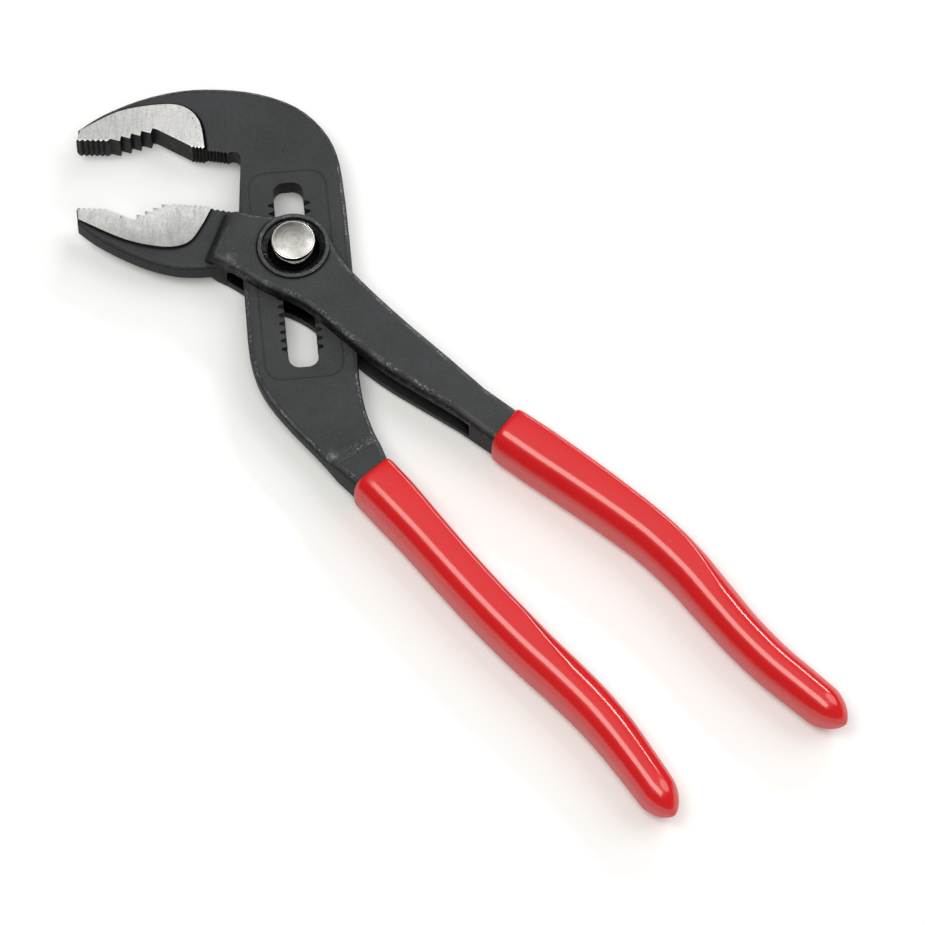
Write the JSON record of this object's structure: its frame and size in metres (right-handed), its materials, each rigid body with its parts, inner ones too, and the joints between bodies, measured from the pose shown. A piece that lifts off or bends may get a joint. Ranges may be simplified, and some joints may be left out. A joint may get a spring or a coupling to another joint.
{
  "type": "water pump pliers",
  "caption": "Water pump pliers lying part open: a slotted leg slides and swings in a box joint, held by a toothed bolt with a push button; dipped sleeves cover both handles.",
  "frame": {"origin": "on the joint's axis, in the plane of the rear rest face", "axes": "+X along the outer leg's handle, with the jaws toward -X; +Z out of the front face, where the button is; +Y toward the back of the upper jaw"},
  "size_m": [0.1871, 0.0578, 0.0135],
  "materials": {
    "black_steel": "forged, black satin coating, jaw pads ground bright",
    "dipped_sleeve": "glossy soft dipped plastic",
    "joint_steel": "machined",
    "turned_steel": "turned face, fine rings",
    "spring_wire": "drawn wire"
  },
  "bodies": {
    "outer_half": {"outer_leg": "black_steel", "outer_grip": "dipped_sleeve"},
    "pivot": {"button_spring": "spring_wire"},
    "bolt": {"pivot_bolt": "joint_steel", "push_button": "turned_steel"},
    "inner_half": {"inner_leg": "black_steel", "inner_grip": "dipped_sleeve"}
  },
  "joints": [
    {"name": "jaw_pivot", "type": "hinge", "parent": "outer_half", "child": "pivot", "pos_m": [0, 0, 0.0053], "axis": [0, 0, 1], "range_deg": [-24, 4]},
    {"name": "slot_adjust", "type": "slide", "parent": "pivot", "child": "inner_half", "axis": [0.766, -0.6428, 0], "range_m": [-0.0126, 0.009]},
    {"name": "button_press", "type": "slide", "parent": "pivot", "child": "bolt", "axis": [0, 0, -1], "range_m": [0, 0.0024], "stiffness_N_per_m": 2000, "springref_m": -0.001, "deforming": ["button_spring"]}
  ]
}
